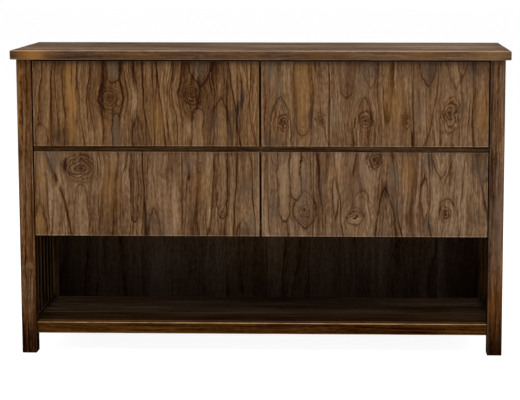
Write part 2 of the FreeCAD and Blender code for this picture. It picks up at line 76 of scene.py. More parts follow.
# Boards: angles of the grid lines over an eased edge, lines behind it, spacing elsewhere, in degrees and
# metres. Wear is a sum of waves, each with its rate and size, along one direction.
EASE_ANGLES = (45.0, 30.0, 15.0, 0.0)
EDGE_LINES = (0.001, 0.003, 0.008)
GRID_STEP = 0.06
EDGE_REACH = 0.0028
WEAR_WAVES = ((23.0, 0.16), (61.0, 0.10), (143.0, 0.06))
WEAR_DIRECTION = (1.0, 0.83, 1.21)
SAME_POINT = 1e-6
GRAIN_OFFSET_LEAST = (-0.4, 0.015, -3.0)
GRAIN_OFFSET_MOST = (0.4, 0.09, 3.0)

AXES = {"x": 0, "y": 1, "z": 2}


# ---- boards

def grid_lines(low, high, ease, extra=()):
    """Places of a board's grid lines along one axis.

    Over an eased edge of radius r the lines are at r * (1 - tan(angle)), then a few close behind it, and
    even ones between.
    """
    near = [ease * (1 - math.tan(math.radians(angle))) for angle in EASE_ANGLES]
    near += [ease + gap for gap in EDGE_LINES + tuple(extra)]
    near = np.array([place for place in near if place < (high - low) / 2])
    steps = max(2, int(math.ceil((high - low) / GRID_STEP)) + 1)
    between = np.linspace(low + near.max(), high - near.max(), steps)
    return np.unique(np.round(np.concatenate([low + near, between, high - near]), 7))


def eased_board(low, high, ease, seed, extra=()):
    """Points, quads and edge nearness of one board.

    Each side of a sharp box is a grid of two parameters. A point q of it goes to c + r * (q - c) / |q - c|,
    where c is q moved into the box by r from every side, and r is the easing times one plus a sum of sines
    of the place, for wear. Edge nearness is exp(-d / reach), where d is the distance to the nearest arris.
    """
    low = np.asarray(low, float)
    high = np.asarray(high, float)
    lines = [grid_lines(low[k], high[k], ease, extra) for k in range(3)]
    points = []
    quads = []
    count = 0
    for axis in range(3):
        for side in (0, 1):
            first, second = ((axis + 1) % 3, (axis + 2) % 3)
            if side == 0:
                first, second = second, first
            u, v = np.meshgrid(lines[first], lines[second], indexing="ij")
            grid = np.empty(u.shape + (3,))
            grid[..., axis] = high[axis] if side else low[axis]
            grid[..., first] = u
            grid[..., second] = v
            number = np.arange(u.size).reshape(u.shape) + count
            corners = (number[:-1, :-1], number[1:, :-1], number[1:, 1:], number[:-1, 1:])
            quads.append(np.stack(corners, -1).reshape(-1, 4))
            points.append(grid.reshape(-1, 3))
            count += u.size
    sharp = np.concatenate(points)
    quads = np.concatenate(quads)
    keys = np.round(sharp / SAME_POINT).astype(np.int64)
    _, kept, place = np.unique(keys, axis=0, return_index=True, return_inverse=True)
    sharp = sharp[kept]
    quads = place.reshape(-1)[quads]

    start = np.random.default_rng(seed).uniform(0, 2 * math.pi, len(WEAR_WAVES))
    along = sharp @ np.array(WEAR_DIRECTION)
    wear = sum(size * np.sin(rate * along + turn) for (rate, size), turn in zip(WEAR_WAVES, start))
    radius = (ease * (1 + wear))[:, None]
    core = np.clip(sharp, low + radius, high - radius)
    out = sharp - core
    eased = core + radius * out / np.linalg.norm(out, axis=1)[:, None]
    inset = np.sort(np.minimum(sharp - low, high - sharp), axis=1)[:, 1]
    return eased, quads, np.exp(-inset / EDGE_REACH)


def bevel_lower_back(points, low, high, width):
    """The points with a bevel along the lower back arris.

    Where height above the bottom plus distance from the back is less than width, both grow until they add
    up to it.
    """
    if not width:
        return points
    height = points[:, 2] - low[2]
    depth = high[1] - points[:, 1]
    push = np.maximum(width - height - depth, 0) / 2
    points = points.copy()
    points[:, 2] += push
    points[:, 1] -= push
    return points


def surface(name, points, quads, attributes):
    """A smooth-shaded mesh object at the origin, with its values per point as attributes."""
    mesh = bpy.data.meshes.new(name)
    mesh.vertices.add(len(points))
    mesh.vertices.foreach_set("co", points.astype(np.float32).ravel())
    mesh.loops.add(quads.size)
    mesh.loops.foreach_set("vertex_index", quads.astype(np.int32).ravel())
    mesh.polygons.add(len(quads))
    mesh.polygons.foreach_set("loop_start", np.arange(0, quads.size, 4, dtype=np.int32))
    mesh.polygons.foreach_set("use_smooth", np.ones(len(quads), bool))
    mesh.update(calc_edges=True)
    for key, values in attributes.items():
        kind = "FLOAT_VECTOR" if values.ndim > 1 else "FLOAT"
        field = "vector" if values.ndim > 1 else "value"
        layer = mesh.attributes.new(key, kind, "POINT")
        layer.data.foreach_set(field, values.astype(np.float32).ravel())
    made = bpy.data.objects.new(name, mesh)
    bpy.context.scene.collection.objects.link(made)
    return made


def boards(node, boxes, ease, grain, finish, slot, body=CABINET, seed=1, bevel=0.0, centred=False):
    """One piece that stands for a CAD node: a board for each (lowest corner, highest corner) of boxes.

    grain names the axes across, into and along the wood. The grain attribute is the place from the board's
    middle in those axes, plus an offset of its own for each board unless centred, and tone is a number from
    -1 to 1 for each board.
    """
    chance = np.random.default_rng(seed)
    order = [AXES[letter] for letter in grain]
    points, quads, edges, woods, tones = [], [], [], [], []
    count = 0
    for number, (low, high) in enumerate(boxes):
        extra = (bevel,) if bevel else ()
        board, faces, edge = eased_board(low, high, ease, seed + number, extra)
        board = bevel_lower_back(board, low, high, bevel)
        middle = (np.asarray(low) + np.asarray(high)) / 2
        offset = np.zeros(3) if centred else chance.uniform(GRAIN_OFFSET_LEAST, GRAIN_OFFSET_MOST)
        points.append(board)
        quads.append(faces + count)
        edges.append(edge)
        woods.append((board - middle)[:, order] + offset)
        tones.append(np.full(len(board), chance.uniform(-1, 1)))
        count += len(board)
    values = {"grain": np.concatenate(woods), "edge": np.concatenate(edges), "tone": np.concatenate(tones)}
    piece = surface(node + ".wood", np.concatenate(points), np.concatenate(quads), values)
    piece.data.materials.append(finish)
    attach(piece, body)
    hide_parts(node)


# ---- finishes

SCREEN_GAMMA = 2.2


def paint(red, green, blue):
    """A colour given as it looks on a screen, 0 to 255, as linear light."""
    return tuple((part / 255) ** SCREEN_GAMMA for part in (red, green, blue)) + (1.0,)


OPERATIONS = {
    "+": "ADD", "-": "SUBTRACT", "*": "MULTIPLY", "/": "DIVIDE", "*+": "MULTIPLY_ADD", "max": "MAXIMUM",
}


class Nodes:
    """Ways to add and join the nodes of one tree. An operation is a key of OPERATIONS or a node's own."""

    def __init__(self, tree):
        self.tree = tree

    def feed(self, socket, value):
        if isinstance(value, bpy.types.NodeSocket):
            self.tree.links.new(value, socket)
        else:
            socket.default_value = value

    def node(self, kind, inputs=(), **settings):
        made = self.tree.nodes.new("ShaderNode" + kind)
        for key, value in settings.items():
            setattr(made, key, value)
        for key, value in dict(inputs).items():
            self.feed(made.inputs[key], value)
        return made

    def maths(self, operation, *values, clamp=False):
        named = OPERATIONS.get(operation, operation)
        return self.node("Math", enumerate(values), operation=named, use_clamp=clamp).outputs[0]

    def vector(self, operation, *values):
        made = self.node("VectorMath", enumerate(values), operation=OPERATIONS.get(operation, operation))
        return made.outputs["Value" if operation in ("DOT_PRODUCT", "LENGTH") else "Vector"]

    def read(self, name, output="Fac"):
        return self.node("Attribute", attribute_name=name).outputs[output]

    def split(self, vector):
        return self.node("SeparateXYZ", {0: vector}).outputs

    def join(self, x, y, z):
        return self.node("CombineXYZ", {0: x, 1: y, 2: z}).outputs[0]

    def stretched(self, place, across, along, shift=(0.0, 0.0, 0.0)):
        return self.vector("*+", place, (across, across, along), shift)

    def noise(self, place, detail=1.0, roughness=0.5):
        """Smooth noise about zero, from about -0.5 to 0.5."""
        inputs = {"Vector": place, "Scale": 1.0, "Detail": detail, "Roughness": roughness}
        made = self.node("TexNoise", inputs, noise_dimensions="3D")
        return self.maths("-", made.outputs["Fac"], 0.5)

    def pattern(self, place, across, along, shift=(0.0, 0.0, 0.0), detail=1.0, roughness=0.5):
        """Noise stretched by its rates across and along the grain, per metre."""
        return self.noise(self.stretched(place, across, along, shift), detail, roughness)

    def step(self, value, start, end, low=0.0, high=1.0):
        """From low before start to high after end, smoothly."""
        inputs = {"Value": value, "From Min": start, "From Max": end, "To Min": low, "To Max": high}
        return self.node("MapRange", inputs, interpolation_type="SMOOTHSTEP").outputs[0]

    def profile(self, value, stops):
        """A value between 0 and 1 turned into the value or colour that stops give."""
        made = self.node("ValToRGB", {0: value})
        ramp = made.color_ramp
        while len(ramp.elements) < len(stops):
            ramp.elements.new(0.5)
        for element, (place, shade) in zip(ramp.elements, stops):
            element.position = place
            element.color = shade if isinstance(shade, tuple) else (shade, shade, shade, 1.0)
        return made.outputs[0]

    def blend(self, amount, first, second, mode="MIX"):
        inputs = {0: amount, 6: first, 7: second}
        return self.node("Mix", inputs, data_type="RGBA", blend_type=mode, clamp_factor=True).outputs[2]

    def use(self, group, *values):
        """The results of a shared node group, given its inputs in order."""
        made = self.node("Group", node_tree=group)
        for socket, value in zip(made.inputs, values):
            self.feed(socket, value)
        return made.outputs

    def apart(self, place, spot, scale):
        """The place from a spot, times a scale in each direction."""
        return self.vector("*", self.vector("-", place, spot), scale)

    def falling(self, far):
        """exp(-far)"""
        return self.maths("EXPONENT", self.maths("*", far, -1.0))


class Finish(Nodes):
    """A new material with a Principled shader."""

    def __init__(self, name, roughness, specular=0.35):
        self.material = bpy.data.materials.new(name)
        self.material.use_nodes = True
        super().__init__(self.material.node_tree)
        self.shader = self.tree.nodes["Principled BSDF"]
        self.shader.inputs["Roughness"].default_value = roughness
        self.shader.inputs["Specular IOR Level"].default_value = specular

    def bump(self, height, distance, strength=1.0):
        made = self.node("Bump", {"Height": height, "Distance": distance, "Strength": strength})
        self.feed(self.shader.inputs["Normal"], made.outputs[0])

    def finished(self, colour, roughness=None):
        self.feed(self.shader.inputs["Base Color"], colour)
        if roughness is not None:
            self.feed(self.shader.inputs["Roughness"], roughness)
        return self.material


UMBER = paint(34, 17, 7)
DARK = paint(56, 35, 17)
MIDDLE = paint(88, 65, 44)
PALE = paint(122, 99, 76)
AMBER = paint(112, 80, 42)
TAUPE = paint(76, 63, 50)
RUST = paint(96, 54, 34)
LIGHT_TAN = paint(138, 110, 82)
HEART = paint(40, 20, 8)
SLATE = paint(56, 45, 37)
SOOT = paint(34, 29, 26)

# Figure of the veneer: how far above and below the middle a vein's ends are given, its sharper right flank
# and how it fades past its ends; an outline's width, the smoke outside it and the fainter lines inside it;
# how fast the bending of the grain falls off round a knot; how far a cloud tints what it covers; and where
# a knot's rings and its heart fade out, in half widths.
MM = 0.001
VEIN_REACH = 0.12
VEIN_SKEW = 0.35
VEIN_FADE = 6.0
OUTLINE_WIDTH = 0.0030
OUTLINE_BLUR = 0.05
SMOKE_FALL = 3.0
SMOKE_DARKNESS = 0.35
NESTED_SPACING = 0.27
NESTED_DARKNESS = 0.5
FLOW_FALL = 0.55
CLOUD_DEPTH = 0.7
RINGS_END = (0.85, 1.25)
HEART_END = (0.12, 0.34)
RING_LINE = ((0.0, 0.9), (0.10, 1.0), (0.30, 0.35), (0.62, 0.0), (0.88, 0.1), (1.0, 0.9))


# The kinds of the shared groups' sockets; any other is a number.
SOCKETS = {
    "Vector": ("Place", "Spot", "Scale", "Path", "Width", "Flow"), "Color": ("Colour", "Tint", "Tinted"),
}


def shared_group(name, inputs, outputs, build):
    """A node group made once and used by many materials. inputs and outputs are the names of its sockets."""
    tree = bpy.data.node_groups.new(name, "ShaderNodeTree")
    for way, sockets in (("INPUT", inputs.split()), ("OUTPUT", outputs.split())):
        for socket in sockets:
            kind = next((kind for kind, names in SOCKETS.items() if socket in names), "Float")
            tree.interface.new_socket(socket, in_out=way, socket_type="NodeSocket" + kind)
    entry = tree.nodes.new("NodeGroupInput")
    way_out = tree.nodes.new("NodeGroupOutput")
    for socket, value in zip(way_out.inputs, build(Nodes(tree), *entry.outputs[:-1])):
        tree.links.new(value, socket)
    return tree


def vein_nodes(n, place, path, width, darkness, most):
    """One dark line: darkness / (1 + d * d) ** 2, or the most so far where that is more.

    It follows x = (bend * z + slope) * z + middle, and d is the distance across over the half width, a third
    larger to the right and smaller to the left. width is the half width, then the height of the line's
    middle and its half height, past which it fades.
    """
    x, _, z = n.split(place)
    bend, slope, middle = n.split(path)
    half_width, height, half_height = n.split(width)
    line = n.maths("*+", n.maths("*+", z, bend, slope), z, middle)
    away = n.maths("/", n.maths("-", x, line), half_width)
    away = n.maths("*+", n.maths("ABSOLUTE", away), VEIN_SKEW, away)
    past = n.maths("ABSOLUTE", n.maths("/", n.maths("-", z, height), half_height))
    past = n.maths("POWER", past, VEIN_FADE)
    spread = n.maths("+", n.maths("*+", away, away, 1.0), past)
    dark = n.maths("/", darkness, n.maths("*", spread, spread))
    return (n.maths("max", dark, most),)


def outline_nodes(n, place, spot, scale, pointed, closed, darkness, most, tint, amount, tinted, share):
    """A dark outline with smoke outside it and fainter ones inside it, and the tint inside it with its share.

    With x and z the place over the two half widths, the sum of |x| if pointed, or else x * x, and of z * z
    if closed, or else exp(-z), is 1 on the outline. The fainter ones are where it is 1 less a whole number
    of spacings.
    """
    x, _, z = n.split(n.apart(place, spot, scale))
    x = n.maths("ABSOLUTE", x)
    power = n.maths("-", 2.0, pointed)
    ends = n.blend(closed, n.falling(z), n.maths("*", z, z))
    level = n.maths("-", n.maths("+", n.maths("POWER", x, power), ends), 1.0)
    away = n.maths("/", level, n.maths("*", n.split(scale)[0], OUTLINE_WIDTH))
    line = n.falling(n.maths("*", away, away))
    nested = n.profile(n.maths("FRACT", n.maths("*", level, 1 / NESTED_SPACING)), RING_LINE)
    nested = n.maths("*", nested, n.step(level, -0.95, -0.6, 0.0, NESTED_DARKNESS))
    nested = n.maths("*", nested, n.step(level, -OUTLINE_BLUR, OUTLINE_BLUR, 1.0, 0.0))
    outside = n.step(level, -OUTLINE_BLUR, OUTLINE_BLUR, 0.0, SMOKE_DARKNESS)
    smoke = n.maths("*", n.falling(n.maths("*", level, SMOKE_FALL)), outside)
    line = n.maths("max", n.maths("max", line, nested), smoke)
    inside = n.maths("*", n.step(level, -0.6, 0.02, 1.0, 0.0), amount)
    tinted = n.blend(n.step(inside, 0.0, 0.05), tinted, tint)
    line = n.maths("max", n.maths("*", line, darkness), most)
    return line, tinted, n.maths("max", inside, share)


def loop_nodes(n, place, spot, scale, rings, darkness, most, heart):
    """Rings round a knot out to its half widths, and its dark heart. With one ring it is a closed outline."""
    radius = n.vector("LENGTH", n.apart(place, spot, scale))
    line = n.profile(n.maths("FRACT", n.maths("*", radius, rings)), RING_LINE)
    line = n.maths("*", line, n.step(radius, *RINGS_END, 1.0, 0.0))
    inner = n.maths("*", n.step(radius, *HEART_END, 1.0, 0.0), darkness)
    return n.maths("max", n.maths("*", line, darkness), most), n.maths("max", inner, heart)


def flow_nodes(n, flow, place, spot, scale, push):
    """The place moved across, towards a knot's middle, so that the grain bends round the knot."""
    p = n.apart(place, spot, scale)
    near = n.falling(n.maths("*", n.vector("DOT_PRODUCT", p, p), FLOW_FALL))
    moved = n.maths("*", n.maths("*", near, n.split(p)[0]), push)
    return (n.vector("+", flow, n.join(moved, 0.0, 0.0)),)


def cloud_nodes(n, colour, place, spot, scale, tint, amount):
    """The colour with a soft round cloud of a tint."""
    p = n.apart(place, spot, scale)
    there = n.maths("*", n.falling(n.vector("DOT_PRODUCT", p, p)), amount)
    return (n.blend(there, colour, n.blend(CLOUD_DEPTH, colour, tint)),)


VEIN = shared_group("vein", "Place Path Width Darkness Most", "Dark", vein_nodes)
OUTLINE = shared_group(
    "outline", "Place Spot Scale Pointed Closed Darkness Most Tint Amount Tinted Share", "Dark Tinted Share",
    outline_nodes)
LOOP = shared_group("knot", "Place Spot Scale Rings Darkness Most Heart", "Dark Heart", loop_nodes)
FLOW = shared_group("flow", "Flow Place Spot Scale Push", "Flow", flow_nodes)
CLOUD = shared_group("cloud", "Colour Place Spot Scale Tint Amount", "Colour", cloud_nodes)


def spotted(across, along, half_across, half_along):
    """The spot and scale of a feature from its place and half widths in millimetres."""
    return (across * MM, 0.0, along * MM), (1 / (half_across * MM), 0.0, 1 / (half_along * MM))


def vein_path(top, middle, bottom, half_width, low=-300, high=300):
    """The path and width that vein_nodes takes, for the parabola through three places, in millimetres."""
    lengths = (top, middle, bottom, half_width, low, high)
    top, middle, bottom, half_width, low, high = (length * MM for length in lengths)
    bend = (top + bottom - 2 * middle) / (2 * VEIN_REACH ** 2)
    slope = (top - bottom) / (2 * VEIN_REACH)
    return (bend, slope, middle), (half_width, (low + high) / 2, (high - low) / 2)


# Noise in teak: rates across and along the grain, per metre, then the shift, detail and roughness.
TEAK_NOISE = {
    "slow": (5, 1.5, (3.1, 0, 1.7)),
    "quick": (24, 4.5, (0, 5.3, 2.9), 2),
    "ripple": (110, 24, (0, 0, 0), 2),
    "bold_here": (9, 3, (7.7, 1.3, 0)),
    "thin_here": (17, 3.5, (2.2, 8.1, 4.4)),
    "fibre": (380, 26, (0, 0, 0), 3, 0.65),
    "strand": (120, 4.5, (0, 0, 9), 3, 0.75),
    "fleck": (190, 60, (3, 0, 1), 2, 0.6),
    "band": (12, 1.1, (5, 2, 0), 2, 0.55),
    "pore": (1500, 55),
    "patchy": (26, 13, (0, 0, 5)),
    "red": (24, 3.6, (1, 6, 3), 2),
    "amber": (18, 2.2, (8, 0, 5), 2),
    "grey": (14, 6, (4, 4, 8), 3),
    "highlight_and_wear_here": (60, 14, (0, 0, 0), 2),
}
# For patches of it: where the noise starts to count and is full, and what it then runs from and to.
PATCHES = {
    "bold_here": (-0.16, 0.14, 0.1, 1), "thin_here": (-0.12, 0.2, 0.15, 1), "pore": (0.13, 0.22),
    "patchy": (-0.2, 0.12, 0.6, 1.15), "highlight_and_wear_here": (-0.2, 0.15, 0.45, 1),
}
# Swirls move the figure: their rates, and how far they move outlines, knots and clouds, and veins, in metres.
SWIRL_NOISE = {"Scale": 1.0, "Detail": 3.0, "Roughness": 0.7}
SWIRL_RATES = (24.0, 18.0)
SWIRL = (0.024, 0.0, 0.020)
STRONG_SWIRL = (0.046, 0.0, 0.040)
WEAK_SWIRL = (0.008, 0.0, 0.0)
SWAY_RATES = (15.0, 7.0)
FLOW_PUSH = -0.5
BOLD_LINE = ((0.0, 0.75), (0.025, 1.0), (0.08, 0.5), (0.28, 0.18), (0.75, 0.0), (0.97, 0.1), (1.0, 0.75))
THIN_LINE = ((0.0, 0.8), (0.08, 1.0), (0.35, 0.3), (0.75, 0.0), (0.93, 0.1), (1.0, 0.8))
THIN_PER_RING = 4.0
THIN_WAVE = 1.6
RING_TILT = 0.7
RIPPLE = 0.2
LEAF_GAP = 0.0022
LEAF_TURN = 0.011
# The value runs from 0 for dark to 1 for pale: where it starts, and how much each part of the wood adds.
MIDDLE_VALUE = 0.62
SHARE = {
    "band": 0.65, "tone": 0.10, "fibre": 0.45, "fleck": 0.6, "bold": -0.42, "thin": -0.22, "pore": -0.14,
    "figure": -0.56,
}


def teak(name, lines=24.0, wander=2.4, wave=0.5, strength=1.0, leaf=None, knots=(), outlines=(), veins=(),
         clouds=(), shade=(1.0, 1.0, 1.0), streaks=1.0, red=0.25, grey=0.5, amber=0.5, painted_light_and_wear=(),
         roughness=0.5, specular=0.04, edge_highlight_and_wear=0.5, highlight_and_wear_colour=None, waver=0.0, seed=0.0):
    """Stained teak.

    Year rings are whole numbers of: lines per metre across, plus slow noise times wander and quick noise
    times wave. strength is how dark they are and streaks how strong the fibres. waver moves the grain from
    side to side, in metres, and seed picks other wood. shade multiplies the colours, and red, grey and amber
    are how far patches take those tints. The edge amount is how far the arrises take the edge colour: a
    painted highlight along them, together with wear. leaf is (start, width, slip) of the veneer leaves in
    metres, each nearly a copy of the last, moved along by slip.

    The figure of a face is placed in millimetres from its middle, and the grain flows round the knots: knots
    are (across, along, half across, half along, rings, darkness), outlines are (kind, across, along, half
    across, half along, darkness, colour inside, amount), from the tip of a tongue or peak and the middle of a
    loop or lens, veins are (darkness, top, middle, bottom, half width, and low and high if it fades), and
    clouds are (across, along, half across, half along, colour, amount). The colour gains, mostly painted
    shade and painted light with a little wear, are (axis, start, end, gain): the colour is multiplied by gain
    past the end, and the axis is 0 for the distance from the middle, 1 for depth or 2 for height, in metres.
    """
    f = Finish(name, roughness, specular)
    grain = f.read("grain", "Vector")
    edge = f.read("edge")
    tone = f.read("tone")

    swirl = f.node("TexNoise", {"Vector": f.stretched(grain, *SWIRL_RATES), **SWIRL_NOISE}).outputs["Color"]
    swirl = f.vector("-", swirl, (0.5, 0.5, 0.5))
    swirled = f.vector("*+", swirl, SWIRL, grain)
    contorted = f.vector("*+", swirl, STRONG_SWIRL, grain)
    sway = f.pattern(grain, *SWAY_RATES, (seed, 0.0, 0.0))
    flow = f.vector("*+", sway, (waver, 0.0, 0.0), grain)
    for *spot, _, _ in knots:
        flow = f.use(FLOW, flow, grain, *spotted(*spot), FLOW_PUSH * spot[2] * MM)[0]

    place = f.vector("+", flow, (0.0, seed, 0.0))
    joint = 0.0
    if leaf:
        start, width, slip = leaf
        number = f.maths("/", f.maths("-", f.split(grain)[0], start), width)
        whole = f.maths("FLOOR", number)
        place = f.vector("-", place, (start, 0.0, 0.0))
        place = f.vector("*+", whole, (-width, LEAF_TURN, -slip), place)
        part = f.maths("-", number, whole)
        part = f.maths("MINIMUM", part, f.maths("-", 1.0, part))
        joint = f.step(part, 0.0, LEAF_GAP / width, 0.25, 0.0)

    def wood(kind):
        return f.pattern(place, *TEAK_NOISE[kind])

    def patches(kind):
        return f.step(wood(kind), *PATCHES[kind])

    quick = wood("quick")
    rings = f.maths("*", f.split(place)[0], lines)
    rings = f.maths("+", rings, f.maths("*", f.split(place)[1], lines * RING_TILT))
    rings = f.maths("*+", wood("slow"), wander, rings)
    rings = f.maths("*+", quick, wave, rings)
    rings = f.maths("*+", wood("ripple"), RIPPLE, rings)

    bold = f.profile(f.maths("FRACT", rings), BOLD_LINE)
    bold_here = patches("bold_here")
    thin_rings = f.maths("*+", quick, THIN_WAVE, f.maths("*", rings, THIN_PER_RING))
    thin = f.profile(f.maths("FRACT", thin_rings), THIN_LINE)
    thin_here = patches("thin_here")
    fibre = wood("fibre")
    strand = wood("strand")
    fleck = wood("fleck")
    pore = patches("pore")

    figure = 0.0
    heart = 0.0
    for *spot, rings_round, darkness in knots:
        figure, heart = f.use(LOOP, contorted, *spotted(*spot), rings_round, 0.8 * darkness, figure, heart)
    tinted = MIDDLE
    share = 0.0
    for kind, *spot, darkness, tint, amount in outlines:
        shape = (float(kind in ("peak", "lens")), float(kind in ("loop", "lens")))
        figure, tinted, share = f.use(
            OUTLINE, swirled, *spotted(*spot), *shape, darkness, figure, tint, amount, tinted, share)
    bent = f.vector("*+", swirl, WEAK_SWIRL, flow)
    for darkness, *path in veins:
        figure = f.use(VEIN, bent, *vein_path(*path), darkness, figure)[0]
    if veins:
        broken = f.step(f.maths("+", strand, fleck), -0.35, 0.15, 0.35, 1.0)
        figure = f.maths("*", f.maths("*", figure, broken), patches("patchy"))

    bold_parts = f.maths("*", bold, bold_here)
    thin_parts = f.maths("*", thin, thin_here)
    value = MIDDLE_VALUE
    for part, weight in (
            (wood("band"), SHARE["band"]), (tone, SHARE["tone"]), (strand, streaks),
            (fibre, SHARE["fibre"] * streaks), (fleck, SHARE["fleck"]),
            (bold_parts, SHARE["bold"] * strength), (thin_parts, SHARE["thin"] * strength),
            (pore, SHARE["pore"]), (joint, -1.0)):
        value = f.maths("*+", part, weight, value)
    value = f.maths("*+", figure, SHARE["figure"], value, clamp=True)

    colours = (UMBER, DARK, MIDDLE, PALE, TAUPE, LIGHT_TAN)
    dyed = [tuple(part * dye for part, dye in zip(tint, shade + (1.0,))) for tint in colours]
    colour = f.profile(value, ((0.0, dyed[0]), (0.28, dyed[1]), (0.58, dyed[2]), (1.0, dyed[3])))
    for kind, start, end, most, depth, tint, mode in (
            ("red", -0.05, 0.25, red, 0.75, RUST, "OVERLAY"),
            ("amber", 0.02, 0.28, amber, 0.85, AMBER, "OVERLAY"),
            ("grey", 0.05, 0.28, grey, 0.6, dyed[4], "MIX")):
        there = f.step(wood(kind), start, end, 0.0, most)
        colour = f.blend(there, colour, f.blend(depth, colour, tint, mode))
    for *spot, tint, amount in clouds:
        colour = f.use(CLOUD, colour, contorted, *spotted(*spot), tint, amount)[0]
    if outlines:
        colour = f.blend(share, colour, f.blend(0.6, colour, tinted))
    if knots:
        colour = f.blend(f.maths("*", heart, 0.7), colour, HEART)
    # Gains by place: mostly painted shade and painted light, with a little wear on the drawer faces.
    if painted_light_and_wear:
        aside, back, up = f.split(f.node("TexCoord").outputs["Object"])
        for axis, start, end, gain in painted_light_and_wear:
            past = f.step((f.maths("ABSOLUTE", aside), back, up)[axis], start, end)
            gain = f.vector("*+", past, tuple(part - 1 for part in gain), (1.0, 1.0, 1.0))
            colour = f.vector("*", colour, gain)
    # Arrises lightened towards the edge colour: a painted highlight along them, together with wear.
    highlight_and_wear_here = f.maths("*", f.maths("*", f.step(edge, 0.25, 0.9), patches("highlight_and_wear_here")), edge_highlight_and_wear)
    colour = f.blend(highlight_and_wear_here, colour, highlight_and_wear_colour or dyed[5])

    height = f.maths("*+", pore, -0.6, f.maths("*+", strand, 0.5, fibre))
    height = f.maths("*+", bold, -0.35, height)
    f.bump(height, 0.0004, 0.5)
    gloss = f.maths("+", f.maths("*+", fibre, 0.12, roughness), 0.05)
    return f.finished(colour, f.maths("*+", value, -0.1, gloss))


def simple_wood(name, pale, dark, across, along, roughness=0.55, specular=0.3):
    """Plain planed wood of a drawer box, in the piece's own object coordinates; grain along x."""
    f = Finish(name, roughness, specular)
    place = f.node("TexCoord").outputs["Object"]
    stretched = f.vector("*", place, (along, across, across))
    fibre = f.noise(f.vector("*", stretched, (6.0, 9.0, 9.0)), 3.0, 0.6)
    rings = f.noise(stretched, 2.0)
    value = f.maths("*+", fibre, 0.5, f.maths("*+", rings, 1.1, 0.5), clamp=True)
    f.bump(fibre, 0.0003, 0.4)
    colour = f.profile(value, ((0.0, dark), (1.0, pale)))
    return f.finished(colour, f.maths("*+", fibre, 0.2, roughness))


ZINC_ROUGHNESS = 0.34


def zinc(name, scale, dull, bright):
    """Zinc plate between two colours: faint spangle and fine brushing along y."""
    f = Finish(name, ZINC_ROUGHNESS, 0.5)
    f.shader.inputs["Metallic"].default_value = 1.0
    place = f.node("TexCoord").outputs["Object"]
    spangle = f.noise(f.vector("*", place, (scale, scale, scale)), 2.0)
    brushed = f.noise(f.vector("*", place, (2400.0, 60.0, 2400.0)), 2.0)
    tint = f.profile(f.maths("+", spangle, 0.5), ((0.25, dull), (0.75, bright)))
    f.bump(brushed, 0.00005, 0.3)
    return f.finished(tint, f.maths("*+", spangle, 0.18, ZINC_ROUGHNESS))


# ---- the wood of each part

def face_light_and_wear(low, high):
    """Colour gains of a face between two heights: painted shade darkening its top band, top arris and outer
    sides, a band darker towards the bottom, and a painted highlight with wear on its bottom arris.
    """
    return ((2, high - 0.018, high, (0.80, 0.80, 0.86)),
            (2, high - 0.0035, high - 0.001, (0.72, 0.72, 0.74)),
            (2, low + 0.014, low + 0.002, (0.84, 0.86, 0.92)),
            (2, low + 0.0042, low + 0.0018, (1.7, 1.8, 2.0)),
            (0, 0.6842, 0.6854, (0.4, 0.4, 0.4)))


UPPER_FACE_LIGHT_AND_WEAR = face_light_and_wear(0.6405, 0.8975)
LOWER_FACE_LIGHT_AND_WEAR = face_light_and_wear(0.366, 0.623)
FACE_TEAKS = {}
FACE_TEAKS["upper_left_drawer"] = teak(
    "teak_upper_left", painted_light_and_wear=UPPER_FACE_LIGHT_AND_WEAR, lines=24, leaf=(-0.2216, 0.2483, 0.009), seed=0.3, red=0.45,
    grey=0.5, amber=0.6, strength=1.1, shade=(0.94, 0.92, 0.83), waver=0.022, edge_highlight_and_wear=0.2,
    knots=((-106, 16, 42, 38, 3.7, 0.9), (143, 27, 34, 35, 3.6, 0.95)),
    outlines=(
        ("tongue", -97, 64, 23, 20, 1, TAUPE, 0.9), ("peak", 166, 53, 44, 40, 1, TAUPE, 0.7),
        ("loop", -102, 12, 47, 62, 0.35, PALE, 0), ("loop", 148, 10, 38, 56, 0.35, PALE, 0),
        ("tongue", -90, -30, 13, -10, 0.8, TAUPE, 0.8), ("tongue", 157, -11, 18, -14, 0.8, LIGHT_TAN, 0.3),
        ("peak", -26, -34, 22, -40, 0.7, SLATE, 0.5), ("peak", 226, 21, 36, -55, 0.7, LIGHT_TAN, 0.2),
        ("tongue", -318, -60, 20, -30, 0.6, PALE, 0.2), ("peak", 318, 90, 30, -50, 0.4, RUST, 0.1)),
    veins=(
        (1, -249, -247, -237, 1.8), (1, -221, -219, -216, 1.6), (1, -203, -196, -188, 2.2),
        (0.6, -163, -161, -157, 1.3), (0.8, -272, -268, -255, 1.3), (0.7, -60, -50, -40, 1.4),
        (0.8, -36, -28, -20, 1.4), (1.1, -10, -5, 15, 2.4), (1.1, 22.5, 24, 26, 1.8), (1.2, 32, 48, 59, 2.6),
        (0.8, 52, 62, 72, 1.4), (1, 84, 87, 92, 2.2, 50, 140), (0.7, 86, 92, 96, 1.3),
        (0.9, 198, 194, 190, 1.6, 0, 140), (0.8, 232, 244, 262, 1.5), (1, 250, 268, 286, 2.2),
        (1.3, 284, 289, 296, 3.4, -20, 80), (1.1, 279, 276, 272, 3.4, -90, 0), (0.9, 296, 312, 334, 1.8),
        (0.8, 312, 322, 336, 1.4, -140, 20)),
    clouds=(
        (-269, -96, 7, 26, SOOT, 1.2), (287, 16, 6, 32, SOOT, 1.3), (275, -30, 8, 34, SOOT, 0.9),
        (198, -62, 12, 28, SLATE, 0.9), (-227, 10, 14, 140, AMBER, 1), (-123, -56, 16, 24, RUST, 0.3),
        (-36, 10, 8, 40, LIGHT_TAN, 0.6), (130, -75, 9, 24, LIGHT_TAN, 0.6), (-85, -95, 20, 35, SLATE, 0.8),
        (30, -60, 20, 70, AMBER, 0.4)))
